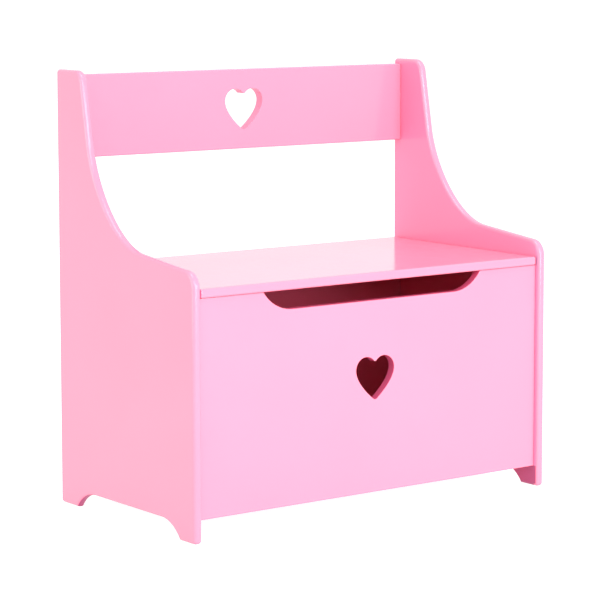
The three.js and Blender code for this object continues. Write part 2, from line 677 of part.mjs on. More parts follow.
function hinge(label, x) {
  const group = new THREE.Group();
  group.position.set(x, HINGE_AXIS_Y, HINGE_AXIS_Z);
  group.add(piece(`${label}_hinge_fixed_leaf`, leafGeometry(false), zinc));
  group.add(piece(`${label}_hinge_lid_leaf`, leafGeometry(true), zinc));
  group.add(piece(`${label}_hinge_pin`, pinGeometry(), steel));
  for (const [place, end] of [['outer', Math.sign(x)], ['inner', -Math.sign(x)]]) {
    const fixed = piece(`${label}_hinge_fixed_screw_${place}`, screwGeometry(), zinc);
    fixed.position.set(end * LEAF_HOLE_HALF_SPACING, -LEAF_HOLE_REACH, -FIT);
    const moving = piece(`${label}_hinge_lid_screw_${place}`, screwGeometry(), zinc);
    moving.rotation.x = Math.PI;
    moving.position.set(end * LEAF_HOLE_HALF_SPACING, -LEAF_HOLE_REACH, FIT);
    group.add(fixed, moving);
  }
  return group;
}

// ---------------------------------------------------------------- lid stay

function lidBracketScrews() {
  const x = LID_FLANGE_X - STAY_SHEET + LID_BRACKET_SCREW_INSET;
  return [-1, 1].map((end) => [x, LID_PIVOT.x + end * LID_BRACKET_SCREW_Y]);
}

// A flat arm between two pivots, from the first to the second, in the side panel's u and v.
function armGeometry(from, to) {
  const along = to.clone().sub(from);
  const angle = along.angle();
  const quarter = Math.PI / 2;
  const shape = shapeOf([
    ...arc(to, ARM_HALF_WIDTH, angle - quarter, angle + quarter, MEDIUM_ARC_STEPS),
    ...arc(from, ARM_HALF_WIDTH, angle + quarter, angle + 3 * quarter, MEDIUM_ARC_STEPS),
  ]);
  const holes = [from, to].map((pivot) =>
    rod([pivot.x, pivot.y, -CUTTER_MARGIN], Z, STAY_SHEET + 2 * CUTTER_MARGIN, RIVET_BORE_RADIUS));
  return cut(plate(shape, STAY_SHEET), ...holes);
}

// A rivet along -Z through a stack of sheets from z = 0 to z = -grip, with a domed head on each side.
function rivetGeometry(grip) {
  const rim = RIVET_HEAD_RADIUS;
  const step = RIVET_HEAD_HEIGHT / 2;
  const far = -grip - FIT;
  return turned([
    [0, far - RIVET_HEAD_HEIGHT],
    [rim - step, far - RIVET_HEAD_HEIGHT],
    [rim, far - step],
    [rim, far],
    [RIVET_RADIUS, far],
    [RIVET_RADIUS, FIT],
    [rim, FIT],
    [rim, FIT + step],
    [rim - step, FIT + RIVET_HEAD_HEIGHT],
    [0, FIT + RIVET_HEAD_HEIGHT],
  ], BORE_FACES);
}

// The side bracket with its inner face at z = 0 and its pivot on the Z axis.
function sideBracketGeometry() {
  const width = 2 * SIDE_BRACKET_HALF_WIDTH;
  const height = 2 * SIDE_BRACKET_HALF_HEIGHT;
  const outline = roundedRectangle(width, height, SIDE_BRACKET_CORNER_RADIUS);
  const down = Z.clone().negate();
  const base = plate(outline, STAY_SHEET).translate(0, 0, -2 * STAY_SHEET);
  const pad = rod([0, 0, 0], down, 2 * STAY_SHEET, SIDE_BRACKET_HALF_WIDTH, SMALL_FACES);
  const pocket = rod([0, 0, -STAY_SHEET], down, STAY_SHEET + CUTTER_MARGIN, SIDE_BRACKET_POCKET_RADIUS);
  const pivot = rod([0, 0, CUTTER_MARGIN], down, STAY_SHEET + 2 * CUTTER_MARGIN, RIVET_BORE_RADIUS);
  const sinks = [-1, 1].map((end) =>
    sinkCutter(STAY_SHEET).translate(0, end * SIDE_BRACKET_SCREW_Z, -STAY_SHEET));
  return cut(join(base, pad), pocket, pivot, ...sinks);
}

// The lid bracket in world axes about the lid pivot: a flange under the lid and one beside the arm.
function lidBracketGeometry() {
  const top = LID_BOTTOM_Z - FIT - LID_PIVOT.y;
  const flat = block(
    [-STAY_SHEET, -LID_BRACKET_HALF_LENGTH, top - STAY_SHEET],
    [LID_BRACKET_WIDTH - STAY_SHEET, LID_BRACKET_HALF_LENGTH, top],
  );
  const ear = block([-STAY_SHEET, -ARM_HALF_WIDTH, 0], [0, ARM_HALF_WIDTH, top]);
  const lobe = rod([-STAY_SHEET, 0, 0], X, STAY_SHEET, ARM_HALF_WIDTH, SMALL_FACES);
  const pivotStart = -STAY_SHEET - CUTTER_MARGIN;
  const pivot = rod([pivotStart, 0, 0], X, STAY_SHEET + 2 * CUTTER_MARGIN, RIVET_BORE_RADIUS);
  const sinks = [-1, 1].map((end) => sinkCutter(STAY_SHEET).rotateX(Math.PI).translate(
    LID_BRACKET_SCREW_INSET - STAY_SHEET, end * LID_BRACKET_SCREW_Y, top - STAY_SHEET));
  return cut(join(flat, ear, lobe), pivot, ...sinks);
}

function placedRivet(name, pivot, x, grip) {
  const rivet = orient(piece(name, rivetGeometry(grip), steel), Y, Z, X);
  rivet.position.set(x, pivot.x, pivot.y);
  return rivet;
}

function stay() {
  const group = new THREE.Group();
  const sideBracket = orient(piece('stay_side_bracket', sideBracketGeometry(), zinc), Y, Z, X);
  sideBracket.position.set(BRACKET_PAD_X, SIDE_PIVOT.x, SIDE_PIVOT.y);
  const lidBracket = piece('stay_lid_bracket', lidBracketGeometry(), zinc);
  lidBracket.position.set(LID_FLANGE_X, LID_PIVOT.x, LID_PIVOT.y);
  const lowerArm = orient(piece('stay_lower_arm', armGeometry(SIDE_PIVOT, ELBOW), zinc), Y, Z, X);
  lowerArm.position.x = LOWER_ARM_X - STAY_SHEET;
  const upperArm = orient(piece('stay_upper_arm', armGeometry(ELBOW, LID_PIVOT), zinc), Y, Z, X);
  upperArm.position.x = UPPER_ARM_X - STAY_SHEET;
  group.add(sideBracket, lidBracket, lowerArm, upperArm);

  const grip = STAY_LAYER + STAY_SHEET;
  group.add(placedRivet('stay_side_rivet', SIDE_PIVOT, LOWER_ARM_X, grip));
  group.add(placedRivet('stay_elbow_rivet', ELBOW, UPPER_ARM_X, grip));
  group.add(placedRivet('stay_lid_rivet', LID_PIVOT, LID_FLANGE_X, grip));

  for (const [place, end] of [['lower', -1], ['upper', 1]]) {
    const screw = orient(piece(`stay_side_screw_${place}`, screwGeometry(), zinc), Y, Z, X);
    screw.position.set(SIDE_BRACKET_X, SIDE_PIVOT.x, SIDE_PIVOT.y + end * SIDE_BRACKET_SCREW_Z);
    group.add(screw);
  }
  lidBracketScrews().forEach(([x, y], i) => {
    const screw = piece(`stay_lid_screw_${['front', 'rear'][i]}`, screwGeometry(), zinc);
    screw.rotation.x = Math.PI;
    screw.position.set(x, y, LID_BOTTOM_Z - FIT - STAY_SHEET);
    group.add(screw);
  });
  return group;
}

function stayScrewBores() {
  const inward = Z.clone().negate();
  return [-1, 1].map((end) => rod(
    [SIDE_PIVOT.x, SIDE_PIVOT.y + end * SIDE_BRACKET_SCREW_Z, BOARD + CUTTER_MARGIN],
    inward, SCREW_LENGTH + CUTTER_MARGIN, SCREW_BORE_RADIUS));
}

// ---------------------------------------------------------------- the toy box

const toyBox = new THREE.Group();
toyBox.add(sidePanel('left_side_panel', -1, stayScrewBores()));
toyBox.add(sidePanel('right_side_panel', 1));
toyBox.add(frontPanel(), backPanel(), backRail(), floorPanel(), lidPanel());
toyBox.add(hinge('left', -HINGE_X), hinge('right', HINGE_X));
toyBox.add(stay());
for (const joint of crossPanels) toyBox.add(fittings(joint));

export default toyBox;
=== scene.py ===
"""Looks of a painted toy-box bench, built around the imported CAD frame. Lengths are in metres."""

import json
import math

import bmesh
import bpy
from mathutils import Matrix, Vector


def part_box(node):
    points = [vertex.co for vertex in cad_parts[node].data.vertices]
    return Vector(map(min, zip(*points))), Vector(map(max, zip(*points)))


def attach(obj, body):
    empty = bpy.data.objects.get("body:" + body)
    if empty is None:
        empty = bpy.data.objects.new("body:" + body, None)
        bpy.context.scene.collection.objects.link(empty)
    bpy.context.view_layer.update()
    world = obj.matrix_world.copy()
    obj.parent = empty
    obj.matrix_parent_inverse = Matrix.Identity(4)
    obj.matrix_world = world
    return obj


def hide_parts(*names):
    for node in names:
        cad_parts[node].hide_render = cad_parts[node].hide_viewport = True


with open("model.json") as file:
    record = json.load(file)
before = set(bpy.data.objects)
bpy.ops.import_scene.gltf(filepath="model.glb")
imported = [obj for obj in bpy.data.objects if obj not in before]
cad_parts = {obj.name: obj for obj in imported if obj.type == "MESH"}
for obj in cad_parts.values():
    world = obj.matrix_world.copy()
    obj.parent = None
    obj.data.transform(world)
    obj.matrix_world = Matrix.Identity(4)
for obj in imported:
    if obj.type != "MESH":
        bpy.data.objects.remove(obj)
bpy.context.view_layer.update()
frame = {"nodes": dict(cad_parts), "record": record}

# Rounded edges. The cross panels, the rail and the lid are crisper than in the CAD.
SIDE_ROUND = 0.0045
PANEL_ROUND = 0.0008
RAIL_ROUND = 0.0012
HEART_RIM_ROUND = 0.0003
LID_ROUND = 0.003
LID_CORNER = 0.0032
RAIL_CORNER = 0.003
FLOOR_ROUND = 0.0004
FLOOR_CORNER = 0.001
ROUND_STEPS = 6
LID_ROUND_STEPS = 8
FLOOR_ROUND_STEPS = 2

# The side panels' outline, as in the CAD.
UPRIGHT_TOP_Y = 0.1031
UPRIGHT_LEAN = math.radians(10.1)
UPRIGHT_CORNER = 0.019
SWEEP_TOP = Vector((0.0852, 0.4977))
SWEEP_TOP_PULL = 0.0584
SWEEP_END = Vector((-0.0376, 0.3635))
SWEEP_END_PULL = 0.0582
ARM_SLOPE = math.radians(6)
ARM_CORNER = 0.022
ARCH_HEIGHT = 0.0228
ARCH_RADIUS = 0.055
ARCH_FRONT_Y = -0.0825
ARCH_REAR_Y = 0.077
FOOT_CORNER = 0.005

# The front panel's grip and the hearts, as in the CAD. A heart is measured from its own centre.
GRIP_BOTTOM_Z = 0.2911
GRIP_FLAT_HALF = 0.1377
GRIP_RADIUS = 0.056
HEART_HEIGHTS = {"front_panel": 0.1858, "back_rail": 0.5326}
HEART_LOBE = Vector((0.0151, 0.0119))
HEART_LOBE_RADIUS = 0.0174
HEART_CLEFT_RADIUS = 0.0026
HEART_SIDE_ANGLE = math.radians(-4.4)
HEART_TIP_RADIUS = 0.0057
HEART_TIP_Z = -0.0294
HEART_TIP_ANGLE = math.radians(-51)
HEART_SIDE_PULL = 0.013
HEART_TIP_PULL = 0.0182
# A heart's wall is nearer the panel's middle than this.
HEART_REACH = 0.04

# How far a face's normal leans along an axis before the face counts as facing that way.
FACING = 0.5
FACING_FULLY = 0.9
# The arch's wall, which takes a dark tone of painted shade, looks down at least this much, and outwards no
# more than this much.
ARCH_WALL_TURN = 0.1
ARCH_EDGE_TURN = 0.7

# Points along curves.
CORNER_STEPS = 10
WIDE_CORNER_STEPS = 20
ARC_STEPS = 24
LID_CORNER_STEPS = 12
PANEL_CORNER_STEPS = 8
SWEEP_STEPS = 64
ARCH_STEPS = 20
HEART_STEPS = {"cleft": 8, "lobe": 36, "side": 24, "tip": 6}

# Fittings and their bores, as in the CAD.
FIT = 0.0003
CAM_BORE_RADIUS = 0.0062
CAM_BORE_DEPTH = 0.0095
CAM_BORE_START = 0.002
CAM_BORE_MARGIN = 0.0002
END_BORE_LENGTH = 0.04
BORE_MARGIN = 0.001
BOLT_BORE_RADIUS = 0.0031
THREAD_BORE_RADIUS = 0.0026
DOWEL_BORE_RADIUS = 0.00315
SCREW_BORE_RADIUS = 0.0014
SCREW_SHANK = 0.0012
SCREW_TIP = 0.0015
SCREW_RIM = 0.0001
SCREW_RECESS_REACH = 0.0014
SCREW_RECESS_WIDTH = 0.0006
SCREW_RECESS_DEPTH = 0.0008
CAM_CHAMFER = 0.0004
CAM_RECESS_REACH = 0.0035
CAM_RECESS_WIDTH = 0.0013
CAM_RECESS_DEPTH = 0.0016
CAM_MOUTH_PAST = 0.0018
RECESS_MARGIN = 0.001

# Round sides of turned pieces and bores.
CAM_BORE_SIDES = 40
CAM_SIDES = 40
BORE_SIDES = 20
SCREW_BORE_SIDES = 16
SCREW_SIDES = 24
ROD_SIDES = 32

# Points closer than this are one point, and a mitre's cosine goes no lower.
SAME_PLACE = 1e-6
SHARPEST_MITRE = 0.4
# Edges that turn more than this stay sharp, and large flat faces lead the shading.
SHARP_ANGLE = math.radians(32)
FLAT_FACE_WEIGHT = 100

X = Vector((1, 0, 0))
Y = Vector((0, 1, 0))
Z = Vector((0, 0, 1))


# ---------------------------------------------------------------- outlines


def arc(centre, radius, start, end, steps=ARC_STEPS):
    """Points of an arc from one angle to another, both ends included."""
    turn = end - start
    angles = [start + turn * i / steps for i in range(steps + 1)]
    return [centre + radius * Vector((math.cos(a), math.sin(a))) for a in angles]


def round_corner(before, corner, after, radius, steps=CORNER_STEPS):
    """Points of a corner rounded to the given radius."""
    back = (before - corner).normalized()
    ahead = (after - corner).normalized()
    half = back.angle(ahead) / 2
    centre = corner + (back + ahead).normalized() * radius / math.sin(half)
    first = corner + back * radius / math.tan(half) - centre
    start = math.atan2(first.y, first.x)
    turn = math.pi - 2 * half
    sign = -1 if back.x * ahead.y - back.y * ahead.x > 0 else 1
    return arc(centre, radius, start, start + sign * turn, steps)


def cubic(p0, p1, p2, p3, steps):
    """Points of a cubic Bezier curve."""
    points = []
    for i in range(steps + 1):
        t = i / steps
        s = 1 - t
        points.append(s**3 * p0 + 3 * s * s * t * p1 + 3 * s * t * t * p2 + t**3 * p3)
    return points


def tidy(points):
    """The same closed outline without points that repeat."""
    return [p for i, p in enumerate(points) if (p - points[i - 1]).length > SAME_PLACE]


def area(points):
    """Signed area of a closed outline, positive when it runs anticlockwise."""
    return sum(a.x * b.y - a.y * b.x for a, b in zip(points, points[1:] + points[:1])) / 2


def rounded_rectangle(low, high, radius, steps=PANEL_CORNER_STEPS):
    """An upright rectangle with round corners."""
    (left, bottom), (right, top) = low, high
    corners = [Vector(c) for c in ((left, bottom), (right, bottom), (right, top), (left, top))]
    points = []
    for i, corner in enumerate(corners):
        points += round_corner(corners[i - 1], corner, corners[(i + 1) % 4], radius, steps)
    return tidy(points)


def side_outline(rear, top):
    """The side panel's outline in y and z."""
    lean = Vector((-math.sin(UPRIGHT_LEAN), -math.cos(UPRIGHT_LEAN)))
    arm = Vector((-math.cos(ARM_SLOPE), -math.sin(ARM_SLOPE)))
    front_top = Vector((UPRIGHT_TOP_Y, top))
    arm_front = SWEEP_END + arm * (SWEEP_END.x + rear) / math.cos(ARM_SLOPE)
    arch_angle = math.acos((ARCH_RADIUS - ARCH_HEIGHT) / ARCH_RADIUS)
    arch_reach = ARCH_RADIUS * math.sin(arch_angle)
    arch_z = ARCH_HEIGHT - ARCH_RADIUS
    rear_foot = Vector((ARCH_REAR_Y + arch_reach, 0))
    front_foot = Vector((ARCH_FRONT_Y - arch_reach, 0))
    rear_bottom, rear_top, front_bottom = Vector((rear, 0)), Vector((rear, top)), Vector((-rear, 0))
    sweep_pulls = (SWEEP_TOP + lean * SWEEP_TOP_PULL, SWEEP_END - arm * SWEEP_END_PULL)
    up = math.pi / 2
    return tidy([
        *round_corner(rear_foot, rear_bottom, rear_top, FOOT_CORNER),
        *round_corner(rear_bottom, rear_top, front_top, FOOT_CORNER),
        *round_corner(rear_top, front_top, front_top + lean, UPRIGHT_CORNER, WIDE_CORNER_STEPS),
        *cubic(SWEEP_TOP, *sweep_pulls, SWEEP_END, SWEEP_STEPS),
        *round_corner(SWEEP_END, arm_front, front_bottom, ARM_CORNER, WIDE_CORNER_STEPS),
        *round_corner(arm_front, front_bottom, front_foot, FOOT_CORNER),
        *arc(Vector((ARCH_FRONT_Y, arch_z)), ARCH_RADIUS, up + arch_angle, up, ARCH_STEPS),
        *arc(Vector((ARCH_REAR_Y, arch_z)), ARCH_RADIUS, up, up - arch_angle, ARCH_STEPS),
    ])


def heart_outline(height):
    """A heart about the panel's middle, its own centre at the given height."""
    reach = HEART_LOBE_RADIUS + HEART_CLEFT_RADIUS
    rise = math.sqrt(reach**2 - HEART_LOBE.x**2)
    cleft = Vector((0, HEART_LOBE.y + rise))
    lobe_start = math.atan2(rise, -HEART_LOBE.x)
    side = Vector((math.cos(HEART_SIDE_ANGLE), math.sin(HEART_SIDE_ANGLE)))
    side_start = HEART_LOBE + side * HEART_LOBE_RADIUS
    tip = Vector((0, HEART_TIP_Z + HEART_TIP_RADIUS))
    tip_side = Vector((math.cos(HEART_TIP_ANGLE), math.sin(HEART_TIP_ANGLE)))
    side_end = tip + tip_side * HEART_TIP_RADIUS
    half = tidy([
        *arc(cleft, HEART_CLEFT_RADIUS, -math.pi / 2, lobe_start - math.pi, HEART_STEPS["cleft"]),
        *arc(HEART_LOBE, HEART_LOBE_RADIUS, lobe_start, HEART_SIDE_ANGLE, HEART_STEPS["lobe"]),
        *cubic(
            side_start,
            side_start + Vector((side.y, -side.x)) * HEART_SIDE_PULL,
            side_end + Vector((-tip_side.y, tip_side.x)) * HEART_TIP_PULL,
            side_end,
            HEART_STEPS["side"],
        ),
        *arc(tip, HEART_TIP_RADIUS, HEART_TIP_ANGLE, -math.pi / 2, HEART_STEPS["tip"]),
    ])
    mirrored = [Vector((-p.x, p.y)) for p in reversed(half)]
    return [p + Vector((0, height)) for p in tidy(half + mirrored)]


def front_outline(low, high):
    """The front panel's outline in x and z, with the hand grip in its top edge."""
    centre_z = GRIP_BOTTOM_Z + GRIP_RADIUS
    angle = math.acos((centre_z - high.z) / GRIP_RADIUS)
    down = -math.pi / 2
    right = Vector((GRIP_FLAT_HALF, centre_z))
    left = Vector((-GRIP_FLAT_HALF, centre_z))
    return tidy([
        Vector((low.x, low.z)),
        Vector((high.x, low.z)),
        Vector((high.x, high.z)),
        *arc(right, GRIP_RADIUS, down + angle, down),
        *arc(left, GRIP_RADIUS, down, down - angle),
        Vector((low.x, high.z)),
    ])


# ---------------------------------------------------------------- mesh building


def line_crossing(a, along_a, b, along_b):
    """Where two lines in a plane cross."""
    across = along_a.x * along_b.y - along_a.y * along_b.x
    gap = b - a
    return a + along_a * (gap.x * along_b.y - gap.y * along_b.x) / across


def offset_loop(points, distance):
    """The outline moved into the material on its left. Corners too tight for the move become sharp."""
    count = len(points)
    edges = [(points[(i + 1) % count] - points[i]).normalized() for i in range(count)]
    moved = []
    for i, point in enumerate(points):
        normal_a = Vector((-edges[i - 1].y, edges[i - 1].x))
        normal_b = Vector((-edges[i].y, edges[i].x))
        middle = (normal_a + normal_b).normalized()
        moved.append(point + middle * distance / max(SHARPEST_MITRE, middle.dot(normal_a)))
    flipped = [(moved[(i + 1) % count] - moved[i]).dot(edges[i]) < 0 for i in range(count)]
    for first in range(count):
        if flipped[first] and not flipped[first - 1]:
            last = first
            while flipped[(last + 1) % count]:
                last += 1
            after = (last + 1) % count
            corner = line_crossing(moved[first], edges[first - 1], moved[after], edges[after])
            for i in range(first, last + 2):
                moved[i % count] = corner
    return moved


def board_mesh(outer, holes, thickness, outer_round, hole_round=HEART_RIM_ROUND, steps=ROUND_STEPS):
    """A board in u, v and w, from w = 0 to w = thickness, with all its edges rounded over."""
    mesh = bmesh.new()
    loops = [(outer if area(outer) > 0 else outer[::-1], outer_round)]
    loops += [(hole if area(hole) < 0 else hole[::-1], hole_round) for hole in holes]
    for loop, radius in loops:
        rings = []
        for face in (0, 1):
            for i in range(steps + 1):
                angle = math.pi / 2 * (i if face == 0 else steps - i) / steps
                inset = radius * (1 - math.sin(angle))
                depth = radius * (1 - math.cos(angle))
                w = depth if face == 0 else thickness - depth
                rings.append([mesh.verts.new((p.x, p.y, w)) for p in offset_loop(loop, inset)])
        count = len(loop)
        for low, high in zip(rings, rings[1:]):
            for i in range(count):
                j = (i + 1) % count
                mesh.faces.new((low[i], low[j], high[j], high[i]))
    bmesh.ops.remove_doubles(mesh, verts=mesh.verts, dist=SAME_PLACE)
    open_edges = [edge for edge in mesh.edges if edge.is_boundary]
    for w, normal in ((0, -Z), (thickness, Z)):
        rim = [edge for edge in open_edges if abs(edge.verts[0].co.z - w) < SAME_PLACE]
        bmesh.ops.triangle_fill(mesh, use_beauty=True, edges=rim, normal=normal)
    bmesh.ops.recalc_face_normals(mesh, faces=mesh.faces)
    return mesh


def turned_mesh(profile, segments):
    """A piece turned about +Z from its (radius, height) profile, which starts and ends on the axis."""
    mesh = bmesh.new()
    rings = []
    for radius, height in profile:
        if radius < SAME_PLACE:
            rings.append([mesh.verts.new((0, 0, height))])
            continue
        angles = [2 * math.pi * i / segments for i in range(segments)]
        rings.append([mesh.verts.new((radius * math.cos(a), radius * math.sin(a), height)) for a in angles])
    for low, high in zip(rings, rings[1:]):
        for i in range(segments):
            j = (i + 1) % segments
            corners = [low[i % len(low)], low[j % len(low)], high[j % len(high)], high[i % len(high)]]
            unique = list(dict.fromkeys(corners))
            if len(unique) > 2:
                mesh.faces.new(unique)
    bmesh.ops.recalc_face_normals(mesh, faces=mesh.faces)
    return mesh


def block_mesh(low, high):
    """A box between two corners."""
    mesh = bmesh.new()
    size = Vector(high) - Vector(low)
    middle = (Vector(high) + Vector(low)) / 2
    bmesh.ops.create_cube(mesh, size=1, matrix=Matrix.Translation(middle) @ Matrix.Diagonal((*size, 1)))
    return mesh


def rod_mesh(start, direction, length, radius, segments=ROD_SIDES):
    """A round rod from a start point along a direction."""
    mesh = turned_mesh([(0, 0), (radius, 0), (radius, length), (0, length)], segments)
    turn = Z.rotation_difference(Vector(direction)).to_matrix().to_4x4()
    mesh.transform(Matrix.Translation(Vector(start)) @ turn)
    return mesh


def to_object(name, mesh):
    """Turns a bmesh into a linked object."""
    data = bpy.data.meshes.new(name)
    mesh.to_mesh(data)
    mesh.free()
    made = bpy.data.objects.new(name, data)
    bpy.context.scene.collection.objects.link(made)
    return made


def cut_away(body, cutters):
    """Cuts other meshes from an object and removes them."""
    for cutter in cutters:
        tool = to_object("tool", cutter)
        step = body.modifiers.new("cut_away", "BOOLEAN")
        step.operation = "DIFFERENCE"
        step.solver = "EXACT"
        step.object = tool
        graph = bpy.context.evaluated_depsgraph_get()
        result = bpy.data.meshes.new_from_object(body.evaluated_get(graph))
        body.modifiers.clear()
        old = body.data
        body.data = result
        bpy.data.meshes.remove(old)
        bpy.data.objects.remove(tool)


def split_at(piece, point, normal):
    """Adds edges where a plane cuts a finished board, so that a tone of painted shade can stop there."""
    mesh = bmesh.new()
    mesh.from_mesh(piece.data)
    geometry = mesh.verts[:] + mesh.edges[:] + mesh.faces[:]
    bmesh.ops.bisect_plane(mesh, geom=geometry, dist=SAME_PLACE, plane_co=point, plane_no=normal)
    mesh.to_mesh(piece.data)
    mesh.free()


def finish_piece(piece, material, body, nodes, others=()):
    """Shades a finished piece, gives it its materials and ties it to the frame.

    Each of the others is a material and a test of a face's middle and normal. The first match wins.
    """
    data = piece.data
    data.materials.clear()
    for finish in (material, *(entry[0] for entry in others)):
        data.materials.append(finish)
    for face in data.polygons:
        matches = [i + 1 for i, entry in enumerate(others) if entry[1](face.center, face.normal)]
        face.material_index = matches[0] if matches else 0
    data.shade_smooth()
    data.set_sharp_from_angle(angle=SHARP_ANGLE)
    weighted = piece.modifiers.new("weighted_normals", "WEIGHTED_NORMAL")
    weighted.keep_sharp = True
    weighted.weight = FLAT_FACE_WEIGHT
    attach(piece, body)
    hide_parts(*nodes)


# ---------------------------------------------------------------- materials


# Places of the mix node's colour sockets.
MIX_FACTOR, MIX_FIRST, MIX_SECOND = 0, 6, 7
MIX_COLOUR = 2


class Nodes:
    """A short way to add and join a material's nodes."""

    def __init__(self, name):
        self.material = bpy.data.materials.new(name)
        self.material.use_nodes = True
        self.tree = self.material.node_tree
        self.shader = self.tree.nodes["Principled BSDF"]
        self.place = self.add("ShaderNodeTexCoord").outputs["Object"]

    def add(self, kind, **settings):
        node = self.tree.nodes.new(kind)
        for key, value in settings.items():
            setattr(node, key, value)
        return node

    def join(self, source, target):
        self.tree.links.new(source, target)

    def scaled(self, scale):
        """The object's own coordinates, stretched along each axis."""
        mapping = self.add("ShaderNodeMapping")
        mapping.inputs["Scale"].default_value = scale
        self.join(self.place, mapping.inputs["Vector"])
        return mapping.outputs["Vector"]

    def noise(self, scale, detail, roughness=0.5, stretch=(1, 1, 1)):
        node = self.add("ShaderNodeTexNoise")
        node.inputs["Scale"].default_value = scale
        node.inputs["Detail"].default_value = detail
        node.inputs["Roughness"].default_value = roughness
        self.join(self.scaled(stretch), node.inputs["Vector"])
        return node.outputs["Fac"]

    def remap(self, value, low, high, start=0.3, end=0.7):
        node = self.add("ShaderNodeMapRange")
        node.inputs["From Min"].default_value = start
        node.inputs["From Max"].default_value = end
        node.inputs["To Min"].default_value = low
        node.inputs["To Max"].default_value = high
        self.join(value, node.inputs["Value"])
        return node.outputs["Result"]

    def mix(self, factor, first, second):
        """A mix of two colours, each a value or another node's colour."""
        node = self.add("ShaderNodeMix", data_type="RGBA")
        self.join(factor, node.inputs[MIX_FACTOR])
        for socket, value in ((MIX_FIRST, first), (MIX_SECOND, second)):
            if isinstance(value, tuple):
                node.inputs[socket].default_value = value
            else:
                self.join(value, node.inputs[socket])
        return node.outputs[MIX_COLOUR]

    def bump(self, height, distance, strength, normal=None):
        node = self.add("ShaderNodeBump")
        node.inputs["Strength"].default_value = strength
        node.inputs["Distance"].default_value = distance
        self.join(height, node.inputs["Height"])
        if normal is not None:
            self.join(normal, node.inputs["Normal"])
        return node.outputs["Normal"]


# The streaks' stretch along a board and up a board.
LENGTHWISE = (0.06, 1, 1)
UPRIGHT = (1, 1, 0.06)

# One paint in its lit tone, and in darker or deeper copies that are painted shade: on the side panels'
# inner faces, inside the box, along cut edges, in the rail's heart, under the feet and on the returns in
# front of the front panel.
PINK = (0.89, 0.205, 0.308)
PINK_SHADED = (0.89, 0.205, 0.35)
PINK_INSIDE_SHADE = (0.94, 0.165, 0.29)
PINK_CUT_SHADE = (0.58, 0.08, 0.18)
PINK_RAIL_CUT_SHADE = (0.68, 0.22, 0.35)
PINK_FOOT_SHADE = (0.375, 0.062, 0.16)
PINK_RETURN_SHADE = (0.55, 0.22, 0.39)
TONE_SPREAD = 0.015
SATIN = (0.12, 0.17)
EGGSHELL = (0.3, 0.4)
MATT = (0.45, 0.6)
SATIN_SPECULAR = 0.5
EGGSHELL_SPECULAR = 0.3
MATT_SPECULAR = 0.15
PAINT_IOR = 1.5
CLOUD_SCALE = 7
SPECK_SCALE = 420
SPECK_RANGE = (0.45, 0.75)
SPECK_STRENGTH = 0.35
SHEEN_SCALE = 35
STREAK_SCALE = 160
STREAK_HEIGHT = 0.00002
PEEL_SCALE = 330
PEEL_HEIGHT = 0.00003
PAINT_BUMP = 0.1

# Metals and wood.
ZINC_TONE = (0.62, 0.63, 0.65)
ZINC_ROUGHNESS = 0.34
STEEL_TONE = (0.72, 0.72, 0.73)
STEEL_ROUGHNESS = 0.22
BLOTCH_SCALE = 180
BLOTCH_DARKNESS = 0.82
WEAR_SCALE = 600
WEAR_SPREAD = (0.8, 1.25)
BRUSH_SCALE = 900
BRUSH_STRETCH = (1, 8, 1)
BRUSH_HEIGHT = 0.00002
BRUSH_BUMP = 0.3
BEECH_DARK = (0.62, 0.40, 0.22, 1)
BEECH_LIGHT = (0.78, 0.56, 0.34, 1)
BEECH_ROUGHNESS = 0.7
GRAIN_SCALE = 500
GRAIN_STRETCH = (0.08, 1, 1)
GRAIN_HEIGHT = 0.0001
GRAIN_BUMP = 0.4


def pink_paint(name, tone, grain, gloss=SATIN, specular=SATIN_SPECULAR):
    """Sprayed paint on fibreboard: faint orange peel, and streaks along the board's grain axis."""
    nodes = Nodes(name)
    thin = tuple(c * (1 + TONE_SPREAD) for c in tone) + (1,)
    deep = tuple(c * (1 - TONE_SPREAD) for c in tone) + (1,)
    cloud = nodes.remap(nodes.noise(CLOUD_SCALE, 3), 0.0, 1.0)
    base = nodes.mix(cloud, deep, thin)
    speck = nodes.remap(nodes.noise(SPECK_SCALE, 2), 0.0, SPECK_STRENGTH, *SPECK_RANGE)
    colour = nodes.mix(speck, base, tone + (1,))
    nodes.join(colour, nodes.shader.inputs["Base Color"])
    sheen = nodes.remap(nodes.noise(SHEEN_SCALE, 4, 0.6), *gloss)
    nodes.join(sheen, nodes.shader.inputs["Roughness"])
    streaks = nodes.bump(nodes.noise(STREAK_SCALE, 3, 0.6, grain), STREAK_HEIGHT, PAINT_BUMP)
    peel = nodes.bump(nodes.noise(PEEL_SCALE, 2, 0.5), PEEL_HEIGHT, PAINT_BUMP, streaks)
    nodes.join(peel, nodes.shader.inputs["Normal"])
    nodes.shader.inputs["IOR"].default_value = PAINT_IOR
    nodes.shader.inputs["Specular IOR Level"].default_value = specular
    return nodes.material


def plated_steel(name, tone, roughness):
    """Zinc plate or bright steel with fine brushing and faint blotches."""
    nodes = Nodes(name)
    blotch = nodes.remap(nodes.noise(BLOTCH_SCALE, 4, 0.6), 0.0, 1.0)
    dark = tuple(c * BLOTCH_DARKNESS for c in tone) + (1,)
    light = tone + (1,)
    nodes.join(nodes.mix(blotch, dark, light), nodes.shader.inputs["Base Color"])
    rough = nodes.remap(nodes.noise(WEAR_SCALE, 3), *(roughness * spread for spread in WEAR_SPREAD))
    nodes.join(rough, nodes.shader.inputs["Roughness"])
    brushed = nodes.bump(nodes.noise(BRUSH_SCALE, 2, 0.5, BRUSH_STRETCH), BRUSH_HEIGHT, BRUSH_BUMP)
    nodes.join(brushed, nodes.shader.inputs["Normal"])
    nodes.shader.inputs["Metallic"].default_value = 1.0
    return nodes.material


